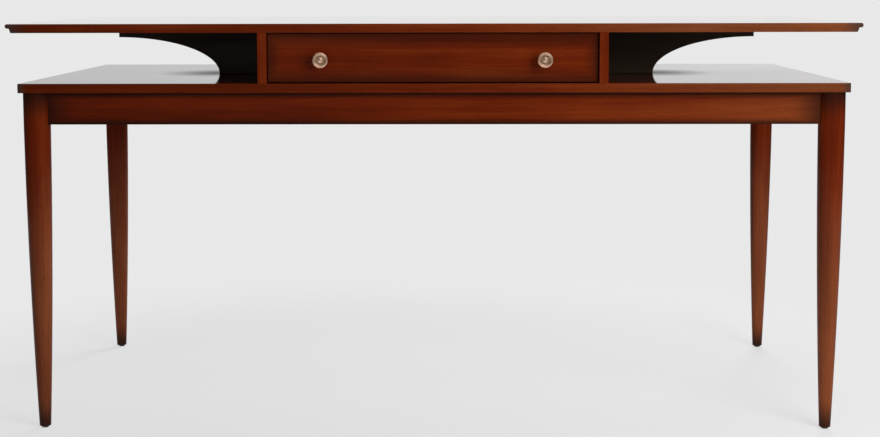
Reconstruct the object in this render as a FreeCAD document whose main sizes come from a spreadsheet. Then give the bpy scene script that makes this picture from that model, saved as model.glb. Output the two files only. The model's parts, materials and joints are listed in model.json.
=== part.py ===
import FreeCAD, Part
import math
import os
import re

import Sketcher
from FreeCAD import Placement, Rotation, Vector

# A writing desk: a lower top on four turned legs, a case with one drawer on it, and a thin upper top that
# floats on the case and on two curved brackets. X runs to the right, the drawer opens towards -Y, Z is up
# and the origin is on the floor under the middle of the desk. Lengths are millimetres.

SIZES = {
    # both tops, whose long edges line up
    "desk_height": 790,
    "desk_depth": 762,
    # upper top: a thin slab whose ends are moulded, a round nose over a quirk and an undercut bevel
    "upper_top_length": 1626,
    "upper_top_thickness": 17,
    "nose_height": 8.5,
    "nose_round": 3.4,
    "quirk": 4,
    "bevel_run": 3.2,
    # lower top, and the open space between the tops
    "opening_height": 96.5,
    "lower_top_setback": 20,
    "lower_top_thickness": 18,
    "lower_top_edge_radius": 1.5,
    "lower_top_corner_radius": 4,
    # legs and their glides
    "leg_diameter": 51,
    "leg_foot_diameter": 22,
    "leg_swell": 2.8,
    "leg_overhang": 4,
    "glide_diameter": 18,
    "glide_sole_diameter": 12,
    "glide_height": 4,
    "glide_pin_diameter": 4,
    "glide_pin_length": 16,
    # aprons, tenoned into the legs with shoulders coped to their round
    "apron_height": 61.5,
    "apron_thickness": 20,
    "tenon_thickness": 8,
    "tenon_length": 17,
    "tenon_shoulder": 8,
    # corner blocks behind the legs
    "corner_block_reach": 75,
    "corner_block_height": 42,
    "corner_block_relief": 1.4,
    # cross rails under the case, housed in the long aprons
    "cross_rail_height": 45,
    "cross_rail_thickness": 22,
    "cross_rail_housing": 6,
    # case
    "case_width": 667,
    "case_setback": 1.5,
    "case_side_thickness": 17,
    "case_back_thickness": 12,
    "case_back_recess": 6,
    "case_back_housing": 5,
    # brackets: a quarter ellipse from the foot to the tip, which stops short of the end of the lower top
    "bracket_thickness": 19,
    "bracket_end_gap": 117.5,
    "bracket_foot_share": 0.376,
    "bracket_tip_height": 19.5,
    # cleats that tie the case to the upper top
    "cleat_size": 15,
    "cleat_setback": 55,
    # drawer
    "drawer_gap": 2,
    "drawer_recess": 8,
    "drawer_length": 440,
    "drawer_front_thickness": 20,
    "drawer_side_thickness": 12,
    "drawer_side_height": 66,
    "drawer_side_rise": 3,
    "drawer_back_thickness": 10,
    "drawer_back_setback": 8,
    "drawer_back_drop": 4,
    "drawer_back_housing": 4,
    "drawer_bottom_thickness": 5,
    "drawer_bottom_rise": 8,
    "drawer_bottom_groove": 5,
    "tail_length": 14,
    # runners in the grooved drawer sides
    "runner_height": 12,
    "runner_groove": 6,
    "runner_length": 380,
    "runner_stop": 30,
    # knobs
    "knob_spacing": 426,
    "knob_drop": 3.5,
    "knob_diameter": 29.5,
    "knob_projection": 24,
    "knob_base_diameter": 18,
    "knob_base_thickness": 3,
    "knob_neck_diameter": 10,
    "knob_neck_length": 6,
    "knob_rim_width": 5.6,
    "knob_rim_height": 5,
    "knob_dish_depth": 3,
    "knob_boss_diameter": 10.5,
    "knob_boss_height": 2,
    "knob_bore_depth": 12,
    # screws and dowels
    "wood_screw_diameter": 4.5,
    "wood_screw_head_diameter": 9,
    "wood_screw_head_height": 3,
    "small_screw_diameter": 3,
    "small_screw_head_diameter": 6,
    "small_screw_head_height": 2,
    "knob_screw_diameter": 4,
    "knob_screw_head_diameter": 9,
    "knob_screw_head_height": 2.5,
    "block_screw_place": 45,
    "block_screw_seat": 20,
    "block_screw_bite": 13,
    "case_screw_seat": 25,
    "case_screw_bite": 26,
    "top_screw_bite": 11,
    "runner_screw_bite": 11,
    "cleat_screw_bite": 10,
    "bottom_screw_bite": 14,
    "dowel_diameter": 8,
    "dowel_depth": 11,
    # fits
    "joint_clearance": 0.1,
    "slide_clearance": 0.3,
    "cut_overrun": 5,
}

# Places that follow from the sizes above.
PLACES = {
    "upper_top_underside": "desk_height - upper_top_thickness",
    "lower_top_length": "upper_top_length - 2 * lower_top_setback",
    "lower_top_height": "upper_top_underside - opening_height",
    "lower_top_underside": "lower_top_height - lower_top_thickness",
    "nose_foot": "desk_height - nose_height",
    "leg_radius": "leg_diameter / 2",
    "leg_x": "lower_top_length / 2 - leg_radius - leg_overhang",
    "leg_y": "desk_depth / 2 - leg_radius - leg_overhang",
    "leg_taper_length": "apron_bottom - glide_height",
    "apron_bottom": "lower_top_underside - apron_height",
    "tenon_tip": "leg_radius - tenon_length",
    "tenon_height": "apron_height - 2 * tenon_shoulder",
    "frame_inner_x": "leg_x - apron_thickness / 2",
    "frame_inner_y": "leg_y - apron_thickness / 2",
    "block_nose": "sqrt(2) * (leg_radius + corner_block_relief) - apron_thickness",
    "block_underside": "lower_top_underside - corner_block_height",
    "rail_underside": "lower_top_underside - cross_rail_height",
    "case_depth": "desk_depth - 2 * case_setback",
    "case_outer": "case_width / 2",
    "case_inner": "case_outer - case_side_thickness",
    "case_side_middle": "case_outer - case_side_thickness / 2",
    "case_back_face": "case_depth / 2 - case_back_recess",
    "bracket_reach": "lower_top_length / 2 - bracket_end_gap - case_outer",
    "bracket_foot": "bracket_foot_share * bracket_reach",
    "cleat_length": "case_depth - 2 * cleat_setback",
    "drawer_outer": "case_inner - drawer_gap",
    "drawer_inner": "drawer_outer - drawer_side_thickness",
    "drawer_face": "drawer_recess - case_depth / 2",
    "drawer_shoulder": "drawer_face + drawer_front_thickness",
    "drawer_rear": "drawer_face + drawer_length",
    "drawer_front_height": "opening_height - 2 * drawer_gap",
    "drawer_side_underside": "lower_top_height + drawer_gap + drawer_side_rise",
    "drawer_bottom_underside": "drawer_side_underside + drawer_bottom_rise",
    "drawer_bottom_surface": "drawer_bottom_underside + drawer_bottom_thickness",
    "drawer_back_rear": "drawer_rear - drawer_back_setback",
    "drawer_back_front": "drawer_back_rear - drawer_back_thickness",
    "runner_front": "drawer_shoulder + runner_stop + slide_clearance",
    "runner_thickness": "drawer_gap + runner_groove - slide_clearance",
    "runner_underside": "drawer_side_underside + (drawer_side_height - runner_height) / 2",
    "runner_middle": "runner_underside + runner_height / 2",
    "knob_height": "lower_top_height + opening_height / 2 - knob_drop",
    "dowel_length": "2 * dowel_depth - 2 * joint_clearance",
}

# Places along a piece, as shares of its length from the middle or from one end.
DOWEL_ROW_SHARES = (-0.42, -0.2, 0.2, 0.42)
CASE_SCREW_SHARES = (-0.4, -0.13, 0.13, 0.4)
CLEAT_WALL_SHARES = (-0.3, 0, 0.3)
CLEAT_TOP_SHARES = (-0.4, -0.15, 0.15, 0.4)
RUNNER_SCREW_SHARES = (0.1, 0.5, 0.9)
BRACKET_WALL_SHARES = (0.25, 0.75)
BRACKET_TOP_SHARES = (0.12, 0.3, 0.5)
BRACKET_FOOT_SHARES = (0.3, 0.7)
BOTTOM_SCREW_SHARES = (-0.4, 0, 0.4)

# Half-blind dovetails of the drawer: width at the root as a share of the pitch, and slope of the sides.
TAIL_COUNT = 3
TAIL_ROOT_SHARE = 0.5
TAIL_SLOPE_SHARE = 0.14

# Turns that point the local +Z of a rod along each axis.
TURNS = {
    "+Z": Rotation(),
    "-Z": Rotation(Vector(1, 0, 0), 180),
    "+X": Rotation(Vector(0, 1, 0), 90),
    "-X": Rotation(Vector(0, 1, 0), -90),
    "+Y": Rotation(Vector(1, 0, 0), -90),
    "-Y": Rotation(Vector(1, 0, 0), 90),
}
HANDS = {"left": -1, "right": 1}
ENDS = {"front": -1, "rear": 1}

SCREWS = {
    "wood": ("wood_screw_diameter", "wood_screw_head_diameter", "wood_screw_head_height"),
    "small": ("small_screw_diameter", "small_screw_head_diameter", "small_screw_head_height"),
    "knob": ("knob_screw_diameter", "knob_screw_head_diameter", "knob_screw_head_height"),
}

NAME = re.compile(r"[a-z][a-z_]*")

doc = FreeCAD.newDocument("writing_desk")
sheet = doc.addObject("Spreadsheet::Sheet", "sizes")
nodes = []
bores = {}


def fill_sheet():
    """Writes the driving sizes into the sheet, one row each."""
    for row, (name, size) in enumerate(SIZES.items(), start=1):
        sheet.set(f"A{row}", name)
        sheet.set(f"B{row}", str(size))
        sheet.setAlias(f"B{row}", name)
    doc.recompute()


def formula(text):
    """Turns a sum of named sizes and places into an expression on the sheet."""

    def expand(match):
        name = match.group(0)
        if name in SIZES:
            return f"sizes.{name}"
        if name in PLACES:
            return f"({formula(PLACES[name])})"
        return name

    return NAME.sub(expand, str(text))


def measure(text):
    """Gives the present value of a sum of named sizes."""
    return float(sheet.evalExpression(formula(text)))


def bind(item, **sums):
    """Ties properties of an object to sums of named sizes."""
    for name, text in sums.items():
        item.setExpression(name, formula(text))


def place(item, base, axis="+Z"):
    """Puts an object at a place that follows the sizes, with its own +Z along an axis."""
    item.Placement = Placement(Vector(), TURNS[axis])
    for name, text in zip("xyz", base):
        item.setExpression(f"Placement.Base.{name}", formula(text))
    return item


def box(name, low, size):
    """A board from its lowest corner and its size."""
    board = doc.addObject("Part::Box", name)
    bind(board, Length=size[0], Width=size[1], Height=size[2])
    return place(board, low)


def rod(name, base, axis, diameter, length):
    """A round rod from the middle of one end."""
    pin = doc.addObject("Part::Cylinder", name)
    bind(pin, Radius=f"({diameter}) / 2", Height=length)
    return place(pin, base, axis)


def fuse(name, pieces):
    whole = doc.addObject("Part::MultiFuse", name)
    whole.Shapes = pieces
    whole.Refine = True
    return whole


def bundle(name, pieces):
    """Separate solids kept together under one name."""
    group = doc.addObject("Part::Compound", name)
    group.Links = pieces
    return group


def cut(name, blank, tools):
    """What is left of a blank once all its tools have been taken away."""
    left = doc.addObject("Part::Cut", name)
    left.Base = blank
    left.Tool = tools[0] if len(tools) == 1 else bundle(f"{name}_tools", tools)
    return left


def node(piece):
    """Counts an object as one of the desk's pieces."""
    nodes.append(piece)
    return piece


def bored(name, blank, tools=()):
    """A piece of the desk: its blank without the tools and without the bores noted for it."""
    return node(cut(name, blank, [*tools, *bores.pop(name, [])]))


def bore(pieces, tool):
    """Notes a bore for each piece that it passes through."""
    for piece in pieces:
        bores.setdefault(piece, []).append(tool)


def ahead(base, axis, distance):
    """The place a distance further along an axis."""
    moved = list(base)
    index = "XYZ".index(axis[1])
    moved[index] = f"{base[index]} {axis[0]} ({distance})"
    return moved


def behind(base, axis, distance):
    """The place a distance back along an axis."""
    return ahead(base, {"+": "-", "-": "+"}[axis[0]] + axis[1], distance)


def screw(name, kind, seat, axis, length, pieces):
    """A screw whose head sits on its seat, and the bores that it needs in the pieces it passes through."""
    diameter, head_diameter, head_height = SCREWS[kind]
    shank = rod(f"{name}_shank", seat, axis, diameter, length)
    head = rod(f"{name}_head", behind(seat, axis, head_height), axis, head_diameter, head_height)
    drill = rod(
        f"{name}_drill",
        behind(seat, axis, "cut_overrun"),
        axis,
        f"{diameter} + 2 * joint_clearance",
        f"{length} + cut_overrun + joint_clearance",
    )
    bore(pieces, drill)
    return fuse(name, [shank, head])


def countersunk_seat(name, kind, seat, axis, piece, depth):
    """The wider bore that lets a screw's head down to its seat."""
    head_diameter = SCREWS[kind][1]
    recess = rod(name, behind(seat, axis, depth), axis, f"{head_diameter} + 4 * joint_clearance", depth)
    bore([piece], recess)


def dowel(name, middle, axis, pieces):
    """A dowel that crosses a joint, and its bore in both pieces."""
    pin = rod(name, behind(middle, axis, "dowel_length / 2"), axis, "dowel_diameter", "dowel_length")
    drill = rod(
        f"{name}_drill",
        behind(middle, axis, "dowel_depth"),
        axis,
        "dowel_diameter + 2 * joint_clearance",
        "2 * dowel_depth",
    )
    bore(pieces, drill)
    return pin


def origin_plane(body, role):
    return next(item for item in body.Origin.OriginFeatures if item.Role == role)


def new_sketch(body, name, role):
    sketch = body.newObject("Sketcher::SketchObject", name)
    sketch.AttachmentSupport = (origin_plane(body, role), [""])
    sketch.MapMode = "FlatFace"
    return sketch


def arc_between(start, end, radius):
    """An arc between two points, bulging to the right of the way from start to end if radius is positive."""
    chord = end - start
    rise = abs(radius) - math.sqrt(radius**2 - chord.Length**2 / 4)
    across = Vector(chord.y, -chord.x, 0).normalize()
    crown = (start + end) / 2 + across * math.copysign(rise, radius)
    return Part.Arc(start, crown, end)


def outline(sketch, corners, radii=None):
    """Draws a closed outline whose corners follow the sizes. An edge with a radius is an arc."""
    radii = radii or {}
    points = [Vector(measure(x), measure(y), 0) for x, y in corners]
    starts = []
    for index, point in enumerate(points):
        following = points[(index + 1) % len(points)]
        if index in radii:
            curve = arc_between(point, following, measure(radii[index]))
        else:
            curve = Part.LineSegment(point, following)
        edge = sketch.addGeometry(curve, False)
        first = sketch.getPoint(edge, 1)
        starts.append(1 if first.distanceToPoint(point) < first.distanceToPoint(following) else 2)
        if index in radii:
            row = sketch.addConstraint(Sketcher.Constraint("Radius", edge, abs(measure(radii[index]))))
            sketch.setExpression(f"Constraints[{row}]", formula(f"abs({radii[index]})"))
    for edge, start in enumerate(starts):
        following = (edge + 1) % len(points)
        sketch.addConstraint(Sketcher.Constraint("Coincident", edge, 3 - start, following, starts[following]))
    for edge, (start, corner) in enumerate(zip(starts, corners)):
        for kind, text in zip(("DistanceX", "DistanceY"), corner):
            row = sketch.addConstraint(Sketcher.Constraint(kind, -1, 1, edge, start, measure(text)))
            sketch.setExpression(f"Constraints[{row}]", formula(text))


def rectangle(length, depth):
    """The corners of a rectangle about the origin."""
    signs = ((-1, -1), (1, -1), (1, 1), (-1, 1))
    return [(f"{x} * ({length}) / 2", f"{y} * ({depth}) / 2") for x, y in signs]


def turned(name, corners, radii, base, axis="+Z"):
    """A piece turned about its own axis from half of its outline."""
    body = doc.addObject("PartDesign::Body", name)
    sketch = new_sketch(body, f"{name}_outline", "XZ_Plane")
    outline(sketch, corners, radii)
    lathe = body.newObject("PartDesign::Revolution", f"{name}_turning")
    lathe.Profile = sketch
    lathe.ReferenceAxis = (sketch, ["V_Axis"])
    lathe.Angle = 360
    return place(body, base, axis)


def slab(body, name, corners, top, thickness):
    """A board from its outline, from its top surface down."""
    sketch = new_sketch(body, f"{name}_outline", "XY_Plane")
    bind(sketch, **{"AttachmentOffset.Base.z": top})
    outline(sketch, corners)
    pad = body.newObject("PartDesign::Pad", name)
    pad.Profile = sketch
    pad.Reversed = True
    bind(pad, Length=thickness)
    return pad


def round_edges(body, base, name, radius, wanted):
    """Rounds the edges of a feature whose middle is wanted."""
    doc.recompute()
    edges = [f"Edge{n}" for n, edge in enumerate(base.Shape.Edges, start=1) if wanted(edge.CenterOfMass)]
    fillet = body.newObject("PartDesign::Fillet", name)
    fillet.Base = (base, edges)
    bind(fillet, Radius=radius)
    return fillet


def make_upper_top():
    """A thin slab, square in front and behind, with its moulding worked along both ends."""
    half = "upper_top_length / 2"
    right = [
        (f"{half} - nose_round - quirk - bevel_run", "upper_top_underside"),
        (f"{half} - nose_round - quirk", "nose_foot"),
        (f"{half} - nose_round", "nose_foot"),
        (f"{half} - nose_round", "desk_height"),
    ]
    left = [(f"-({x})", z) for x, z in reversed(right)]
    nose = "nose_height * nose_height / (8 * nose_round) + nose_round / 2"
    body = doc.addObject("PartDesign::Body", "upper_top_board")
    sketch = new_sketch(body, "upper_top_outline", "XZ_Plane")
    outline(sketch, right + left, {2: nose, 4: nose})
    board = body.newObject("PartDesign::Pad", "upper_top_pad")
    board.Profile = sketch
    board.SideType = "Symmetric"
    bind(board, Length="desk_depth")
    bored("upper_top", body)


def make_lower_top():
    """A slab with softly rounded edges and corners."""
    body = doc.addObject("PartDesign::Body", "lower_top_board")
    board = slab(
        body,
        "board",
        rectangle("lower_top_length", "desk_depth"),
        "lower_top_height",
        "lower_top_thickness",
    )
    middle_height = measure("lower_top_height - lower_top_thickness / 2")
    quarter = measure("lower_top_thickness / 4")
    corners = round_edges(
        body,
        board,
        "corners",
        "lower_top_corner_radius",
        lambda middle: abs(middle.z - middle_height) < quarter,
    )
    round_edges(
        body,
        corners,
        "edges",
        "lower_top_edge_radius",
        lambda middle: abs(middle.z - middle_height) > quarter,
    )
    bored("lower_top", body)


def make_legs():
    """Turned legs: straight through the apron, then a taper with a slight swell, mortised for two tenons."""
    corners = [
        ("0", "glide_height"),
        ("leg_foot_diameter / 2", "glide_height"),
        ("leg_radius", "apron_bottom"),
        ("leg_radius", "lower_top_underside"),
        ("0", "lower_top_underside"),
    ]
    chord = "(pow(leg_taper_length; 2) + pow(leg_radius - leg_foot_diameter / 2; 2))"
    swell = {1: f"{chord} / (8 * leg_swell) + leg_swell / 2"}
    for end, y in ENDS.items():
        for hand, x in HANDS.items():
            name = f"{end}_{hand}_leg"
            middle = (f"{x} * leg_x", f"{y} * leg_y", "0")
            blank = turned(f"{name}_blank", corners, swell, middle)
            depth = "tenon_length + joint_clearance + cut_overrun"
            width = "tenon_thickness + 2 * joint_clearance"
            height = "tenon_height + 2 * joint_clearance"
            low = "apron_bottom + tenon_shoulder - joint_clearance"
            tip = "tenon_tip - joint_clearance"
            along = box(
                f"{name}_long_mortise",
                (
                    f"({tip}) - leg_x" if x < 0 else f"leg_x - ({tip}) - ({depth})",
                    f"{y} * leg_y - ({width}) / 2",
                    low,
                ),
                (depth, width, height),
            )
            across = box(
                f"{name}_short_mortise",
                (
                    f"{x} * leg_x - ({width}) / 2",
                    f"({tip}) - leg_y" if y < 0 else f"leg_y - ({tip}) - ({depth})",
                    low,
                ),
                (width, depth, height),
            )
            bored(name, blank, [along, across])


def make_glides():
    """A tapered sole and a pin under each foot."""
    glides = []
    for end, y in ENDS.items():
        for hand, x in HANDS.items():
            name = f"{end}_{hand}_glide"
            base = (f"{x} * leg_x", f"{y} * leg_y", "0")
            sole = doc.addObject("Part::Cone", f"{name}_sole")
            bind(sole, Radius1="glide_sole_diameter / 2", Radius2="glide_diameter / 2", Height="glide_height")
            place(sole, base)
            pin = rod(f"{name}_pin", base, "+Z", "glide_pin_diameter", "glide_height + glide_pin_length")
            drill = rod(
                f"{name}_drill",
                base,
                "+Z",
                "glide_pin_diameter + 2 * joint_clearance",
                "glide_height + glide_pin_length + joint_clearance",
            )
            bore([f"{end}_{hand}_leg"], drill)
            glides.append(fuse(name, [sole, pin]))
    node(bundle("foot_glides", glides))


def leg_round(name, x, y):
    """The round of a leg that an apron's shoulder is coped to."""
    return rod(
        name,
        (f"{x} * leg_x", f"{y} * leg_y", "apron_bottom - cut_overrun"),
        "+Z",
        "leg_diameter + 2 * joint_clearance",
        "apron_height + 2 * cut_overrun",
    )


def make_long_aprons():
    """Front and rear aprons, with a housing for each cross rail."""
    for end, y in ENDS.items():
        name = f"{end}_apron"
        board = box(
            f"{name}_board",
            ("-leg_x", f"{y} * leg_y - apron_thickness / 2", "apron_bottom"),
            ("2 * leg_x", "apron_thickness", "apron_height"),
        )
        rounds = [leg_round(f"{name}_{hand}_cope", x, y) for hand, x in HANDS.items()]
        coped = cut(f"{name}_coped", board, rounds)
        tenon = box(
            f"{name}_tenon",
            (
                "tenon_tip - leg_x",
                f"{y} * leg_y - tenon_thickness / 2",
                "apron_bottom + tenon_shoulder",
            ),
            ("2 * (leg_x - tenon_tip)", "tenon_thickness", "tenon_height"),
        )
        housings = []
        for hand, x in HANDS.items():
            floor = "frame_inner_y + cross_rail_housing + joint_clearance"
            depth = "cross_rail_housing + joint_clearance + cut_overrun"
            width = "cross_rail_thickness + 2 * joint_clearance"
            housings.append(
                box(
                    f"{name}_{hand}_housing",
                    (
                        f"{x} * case_side_middle - ({width}) / 2",
                        f"-({floor})" if y < 0 else f"{floor} - ({depth})",
                        "rail_underside - joint_clearance",
                    ),
                    (width, depth, "cross_rail_height + joint_clearance + cut_overrun"),
                )
            )
        bored(name, fuse(f"{name}_blank", [coped, tenon]), housings)


def make_short_aprons():
    """Left and right aprons."""
    for hand, x in HANDS.items():
        name = f"{hand}_apron"
        board = box(
            f"{name}_board",
            (f"{x} * leg_x - apron_thickness / 2", "-leg_y", "apron_bottom"),
            ("apron_thickness", "2 * leg_y", "apron_height"),
        )
        rounds = [leg_round(f"{name}_{end}_cope", x, y) for end, y in ENDS.items()]
        coped = cut(f"{name}_coped", board, rounds)
        tenon = box(
            f"{name}_tenon",
            (
                f"{x} * leg_x - tenon_thickness / 2",
                "tenon_tip - leg_y",
                "apron_bottom + tenon_shoulder",
            ),
            ("tenon_thickness", "2 * (leg_y - tenon_tip)", "tenon_height"),
        )
        bored(name, fuse(f"{name}_blank", [coped, tenon]))


def make_corner_blocks():
    """Braces across the inner corners of the frame, cut back to clear the legs."""
    for end, y in ENDS.items():
        for hand, x in HANDS.items():
            name = f"{end}_{hand}_corner_block"
            body = doc.addObject("PartDesign::Body", f"{name}_blank")
            insets = [
                ("block_nose", "0"),
                ("corner_block_reach", "0"),
                ("0", "corner_block_reach"),
                ("0", "block_nose"),
            ]
            corners = [(f"{x} * (frame_inner_x - {u})", f"{y} * (frame_inner_y - {v})") for u, v in insets]
            slab(body, f"{name}_pad", corners, "lower_top_underside", "corner_block_height")
            bored(name, body)


def make_cross_rails():
    """Rails from apron to apron under the sides of the case."""
    for hand, x in HANDS.items():
        name = f"{hand}_cross_rail"
        length = "2 * (frame_inner_y + cross_rail_housing)"
        rail = box(
            f"{name}_blank",
            (
                f"{x} * case_side_middle - cross_rail_thickness / 2",
                f"-({length}) / 2",
                "rail_underside",
            ),
            ("cross_rail_thickness", length, "cross_rail_height"),
        )
        bored(name, rail)


def make_case():
    """Two sides, grooved for the back panel that stands between them."""
    for hand, x in HANDS.items():
        name = f"case_{hand}_side"
        board = box(
            f"{name}_board",
            (f"{x} * case_side_middle - case_side_thickness / 2", "-case_depth / 2", "lower_top_height"),
            ("case_side_thickness", "case_depth", "opening_height"),
        )
        depth = "case_back_housing + cut_overrun"
        floor = "case_inner + case_back_housing"
        groove = box(
            f"{name}_groove",
            (
                f"-({floor})" if x < 0 else f"{floor} - ({depth})",
                "case_back_face - case_back_thickness - joint_clearance",
                "lower_top_height - cut_overrun",
            ),
            (depth, "case_back_thickness + 2 * joint_clearance", "opening_height + 2 * cut_overrun"),
        )
        bored(name, board, [groove])
    width = "2 * (case_inner + case_back_housing - joint_clearance)"
    node(
        box(
            "case_back",
            (f"-({width}) / 2", "case_back_face - case_back_thickness", "lower_top_height"),
            (width, "case_back_thickness", "opening_height"),
        )
    )


def make_brackets():
    """Panels that carry the wings of the upper top, each hollowed to a quarter ellipse."""
    for hand, x in HANDS.items():
        name = f"{hand}_bracket"
        panel = box(
            f"{name}_panel",
            (
                f"{x} * (case_outer + bracket_reach / 2) - bracket_reach / 2",
                "-bracket_thickness / 2",
                "lower_top_height",
            ),
            ("bracket_reach", "bracket_thickness", "opening_height"),
        )
        arch = doc.addObject("Part::Ellipse", f"{name}_arch")
        bind(
            arch,
            MajorRadius="bracket_reach - bracket_foot",
            MinorRadius="opening_height - bracket_tip_height",
        )
        place(
            arch,
            (
                f"{x} * (case_outer + bracket_reach)",
                "0",
                "lower_top_height",
            ),
            "-Y",
        )
        hollow = doc.addObject("Part::Extrusion", f"{name}_hollow")
        hollow.Base = arch
        hollow.DirMode = "Normal"
        hollow.Solid = True
        hollow.Symmetric = True
        bind(hollow, LengthFwd="bracket_thickness + 2 * cut_overrun")
        bored(name, panel, [hollow])


def make_cleats():
    """Square strips in the upper corners of the case."""
    for hand, x in HANDS.items():
        name = f"{hand}_cleat"
        strip = box(
            f"{name}_strip",
            (
                f"{x} * (case_inner - cleat_size / 2) - cleat_size / 2",
                "-cleat_length / 2",
                "upper_top_underside - cleat_size",
            ),
            ("cleat_size", "cleat_length", "cleat_size"),
        )
        bored(name, strip)


def make_runners():
    """Strips on the case sides that the grooved drawer hangs on. Their front ends stop the drawer."""
    for hand, x in HANDS.items():
        name = f"{hand}_runner"
        strip = box(
            f"{name}_strip",
            (
                f"{x} * (case_inner - runner_thickness / 2) - runner_thickness / 2",
                "runner_front",
                "runner_underside",
            ),
            ("runner_thickness", "runner_length", "runner_height"),
        )
        bored(name, strip)


def tail(name, x, index, clearance):
    """One dovetail on a drawer side, or with a clearance the socket for it in the front."""
    pitch = f"drawer_side_height / {TAIL_COUNT}"
    middle = f"drawer_side_underside + {index + 1} * {pitch} - {pitch} / 2"
    root = f"{TAIL_ROOT_SHARE} * {pitch} / 2 + {clearance}"
    tip = f"{root} + {TAIL_SLOPE_SHARE} * tail_length"
    outer = f"drawer_outer + {clearance}" if clearance == "0" else "drawer_outer + cut_overrun"
    inner = f"drawer_inner - {clearance}"
    low, high = (f"-({outer})", f"-({inner})") if x < 0 else (inner, outer)
    wedge = doc.addObject("Part::Wedge", name)
    bind(
        wedge,
        Xmin=low,
        Xmax=high,
        X2min=low,
        X2max=high,
        Ymin=f"drawer_shoulder - tail_length - {clearance}",
        Ymax="drawer_shoulder",
        Zmin=f"{middle} - ({tip})",
        Zmax=f"{middle} + {tip}",
        Z2min=f"{middle} - ({root})",
        Z2max=f"{middle} + {root}",
    )
    return wedge


def make_drawer_sides():
    """Sides with dovetails in front, grooves for the runner and the bottom, and a housing for the back."""
    for hand, x in HANDS.items():
        name = f"drawer_{hand}_side"
        length = "drawer_length - drawer_front_thickness"
        board = box(
            f"{name}_board",
            (
                f"{x} * (drawer_outer - drawer_side_thickness / 2) - drawer_side_thickness / 2",
                "drawer_shoulder",
                "drawer_side_underside",
            ),
            ("drawer_side_thickness", length, "drawer_side_height"),
        )
        tails = [tail(f"{name}_tail_{index}", x, index, "0") for index in range(TAIL_COUNT)]
        runner_depth = "runner_groove + cut_overrun"
        runner_floor = "drawer_outer - runner_groove"
        runner_groove = box(
            f"{name}_runner_groove",
            (
                f"-({runner_floor}) - ({runner_depth})" if x < 0 else runner_floor,
                "drawer_shoulder + runner_stop",
                "runner_underside - slide_clearance",
            ),
            (runner_depth, f"{length} - runner_stop + cut_overrun", "runner_height + 2 * slide_clearance"),
        )
        bottom_depth = "drawer_bottom_groove + cut_overrun"
        bottom_floor = "drawer_inner + drawer_bottom_groove"
        bottom_groove = box(
            f"{name}_bottom_groove",
            (
                f"-({bottom_floor})" if x < 0 else f"{bottom_floor} - ({bottom_depth})",
                "drawer_shoulder - drawer_bottom_groove",
                "drawer_bottom_underside - joint_clearance",
            ),
            (
                bottom_depth,
                f"{length} + drawer_bottom_groove + cut_overrun",
                "drawer_bottom_thickness + 2 * joint_clearance",
            ),
        )
        back_depth = "drawer_back_housing + cut_overrun"
        back_floor = "drawer_inner + drawer_back_housing"
        back_housing = box(
            f"{name}_back_housing",
            (
                f"-({back_floor})" if x < 0 else f"{back_floor} - ({back_depth})",
                "drawer_back_front - joint_clearance",
                "drawer_bottom_surface",
            ),
            (back_depth, "drawer_back_thickness + 2 * joint_clearance", "drawer_side_height"),
        )
        blank = fuse(f"{name}_blank", [board, *tails])
        bored(name, blank, [runner_groove, bottom_groove, back_housing])


def make_drawer_front():
    """The inset front, with blind sockets for the dovetails and a groove for the bottom."""
    board = box(
        "drawer_front_board",
        ("-drawer_outer", "drawer_face", "lower_top_height + drawer_gap"),
        ("2 * drawer_outer", "drawer_front_thickness", "drawer_front_height"),
    )
    sockets = [
        tail(f"drawer_front_{hand}_socket_{index}", x, index, "joint_clearance")
        for hand, x in HANDS.items()
        for index in range(TAIL_COUNT)
    ]
    width = "2 * (drawer_inner + drawer_bottom_groove)"
    groove = box(
        "drawer_front_groove",
        (
            f"-({width}) / 2",
            "drawer_shoulder - drawer_bottom_groove",
            "drawer_bottom_underside - joint_clearance",
        ),
        (width, "drawer_bottom_groove + cut_overrun", "drawer_bottom_thickness + 2 * joint_clearance"),
    )
    bored("drawer_front", board, [*sockets, groove])


def make_drawer_back_and_bottom():
    """The back stands on the bottom, which slides into its grooves from behind."""
    back_width = "2 * (drawer_inner + drawer_back_housing - joint_clearance)"
    back_top = "drawer_side_underside + drawer_side_height - drawer_back_drop"
    back = box(
        "drawer_back_board",
        (f"-({back_width}) / 2", "drawer_back_front", "drawer_bottom_surface"),
        (back_width, "drawer_back_thickness", f"{back_top} - drawer_bottom_surface"),
    )
    bored("drawer_back", back)
    bottom_width = "2 * (drawer_inner + drawer_bottom_groove - joint_clearance)"
    front_edge = "drawer_shoulder - drawer_bottom_groove + joint_clearance"
    bottom = box(
        "drawer_bottom_panel",
        (f"-({bottom_width}) / 2", front_edge, "drawer_bottom_underside"),
        (bottom_width, f"drawer_back_rear - ({front_edge})", "drawer_bottom_thickness"),
    )
    bored("drawer_bottom", bottom)


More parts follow.
